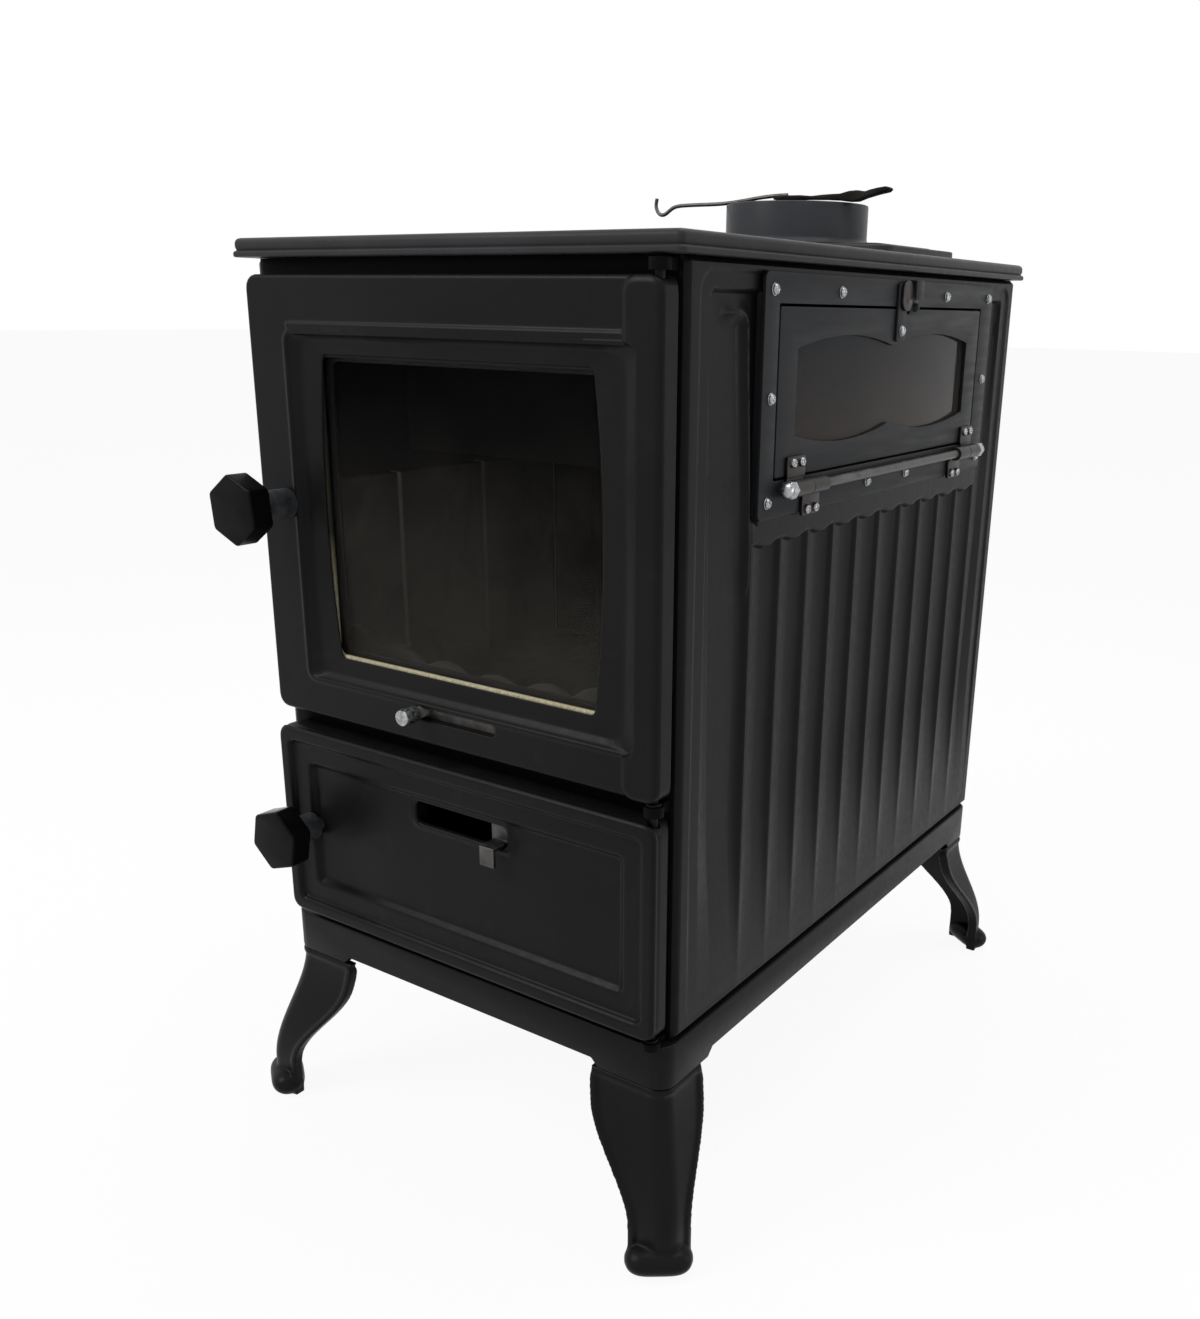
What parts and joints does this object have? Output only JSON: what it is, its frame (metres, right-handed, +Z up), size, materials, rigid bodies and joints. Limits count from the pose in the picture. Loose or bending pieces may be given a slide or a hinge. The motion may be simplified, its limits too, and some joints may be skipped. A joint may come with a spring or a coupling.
{
  "type": "wood cookstove",
  "caption": "Rectangular cast-iron wood cookstove on cabriole legs, with a glazed firebox door, an ash door, a small glazed side oven, a lift-out lid and a round flue collar on top.",
  "frame": {"origin": "on the floor, in the middle of the bounding box", "axes": "+Z up, the front with the firebox door faces -Y, the oven opens to +X"},
  "size_m": [0.4938, 0.7517, 0.8633],
  "materials": {
    "painted_iron": "matt charcoal stove paint over cast texture",
    "plain_iron": "bare dark iron, sooty",
    "painted_sheet": "thin satin paint over sheet steel",
    "zinc": "zinc plated, bright",
    "steel": "dull plain steel",
    "bakelite": "glossy black moulded resin",
    "rope": "woven glass-fibre rope",
    "glass": "clear heat-resistant glass"
  },
  "bodies": {
    "stove_body": {"base_frame": "painted_iron", "leg_front_left": "painted_iron", "leg_front_right": "painted_iron", "leg_rear_left": "painted_iron", "leg_rear_right": "painted_iron", "side_panel_right": "painted_iron", "side_panel_left": "painted_iron", "front_frame": "painted_iron", "back_panel": "painted_iron", "top_plate": "painted_iron", "flue_collar": "painted_iron", "grate": "plain_iron", "lining_left": "plain_iron", "lining_right": "plain_iron", "lining_back": "plain_iron", "log_guard": "plain_iron", "ash_pan": "painted_sheet", "hinge_pin_top": "steel", "hinge_pin_middle": "steel", "hinge_pin_bottom": "steel", "oven_box": "painted_sheet", "oven_tray": "plain_iron", "oven_frame": "painted_sheet", "frame_bolt_top_front": "zinc", "frame_bolt_top_front_mid": "zinc", "frame_bolt_top_rear_mid": "zinc", "frame_bolt_top_rear": "zinc", "frame_bolt_side_front": "zinc", "frame_bolt_side_rear": "zinc", "frame_bolt_bottom_front": "zinc", "frame_bolt_bottom_front_mid": "zinc", "frame_bolt_bottom_rear_mid": "zinc", "frame_bolt_bottom_rear": "zinc", "oven_frame_hinge_front": "painted_sheet", "oven_frame_hinge_rear": "painted_sheet", "oven_hinge_rod": "steel", "acorn_nut_front": "zinc", "acorn_nut_rear": "zinc", "oven_latch_keeper": "painted_sheet"},
    "firebox_door_body": {"firebox_door": "painted_iron", "firebox_glass": "glass", "glass_rope": "rope", "glass_retainer": "painted_sheet"},
    "firebox_slide_body": {"firebox_air_slide": "zinc", "firebox_air_knob": "zinc"},
    "firebox_latch_body": {"firebox_latch": "steel", "firebox_knob": "bakelite"},
    "ash_door_body": {"ash_door": "painted_iron"},
    "ash_slide_body": {"ash_air_slide": "steel"},
    "ash_latch_body": {"ash_latch": "steel", "ash_knob": "bakelite"},
    "oven_door_body": {"oven_door": "painted_sheet", "oven_glass": "glass", "oven_door_hinge_front": "painted_sheet", "oven_door_hinge_rear": "painted_sheet", "oven_latch_strip": "painted_sheet"},
    "oven_tab_body": {"oven_latch_tab": "steel"},
    "lid_body": {"cooktop_lid": "painted_iron"},
    "poker_body": {"poker_rod": "steel", "poker_grip": "plain_iron"}
  },
  "joints": [
    {"name": "firebox_door_hinge", "type": "hinge", "parent": "stove_body", "child": "firebox_door_body", "pos_m": [0.202, -0.31258, 0.58], "axis": [0, 0, 1], "range_deg": [0, 110]},
    {"name": "ash_door_hinge", "type": "hinge", "parent": "stove_body", "child": "ash_door_body", "pos_m": [0.202, -0.31258, 0.29], "axis": [0, 0, 1], "range_deg": [0, 110]},
    {"name": "oven_door_hinge", "type": "hinge", "parent": "stove_body", "child": "oven_door_body", "pos_m": [0.225, 0.03092, 0.613], "axis": [0, 1, 0], "range_deg": [0, 90]},
    {"name": "firebox_latch_turn", "type": "hinge", "parent": "firebox_door_body", "child": "firebox_latch_body", "pos_m": [-0.171, -0.32258, 0.583], "axis": [0, 1, 0], "range_deg": [0, 90]},
    {"name": "ash_latch_turn", "type": "hinge", "parent": "ash_door_body", "child": "ash_latch_body", "pos_m": [-0.171, -0.32258, 0.289], "axis": [0, 1, 0], "range_deg": [0, 90]},
    {"name": "firebox_air_slide", "type": "slide", "parent": "firebox_door_body", "child": "firebox_slide_body", "axis": [1, 0, 0], "range_m": [0, 0.07]},
    {"name": "ash_air_slide", "type": "slide", "parent": "ash_door_body", "child": "ash_slide_body", "axis": [-1, 0, 0], "range_m": [0, 0.081]},
    {"name": "oven_tab_turn", "type": "hinge", "parent": "oven_door_body", "child": "oven_tab_body", "pos_m": [0.22, 0.03792, 0.754], "axis": [-1, 0, 0], "range_deg": [0, 90]},
    {"name": "cooktop_lid_lift", "type": "slide", "parent": "stove_body", "child": "lid_body", "axis": [0, 0, 1], "range_m": [0, 0.12]},
    {"name": "poker_lift", "type": "slide", "parent": "stove_body", "child": "poker_body", "axis": [0, 0, 1], "range_m": [0, 0.1]}
  ]
}
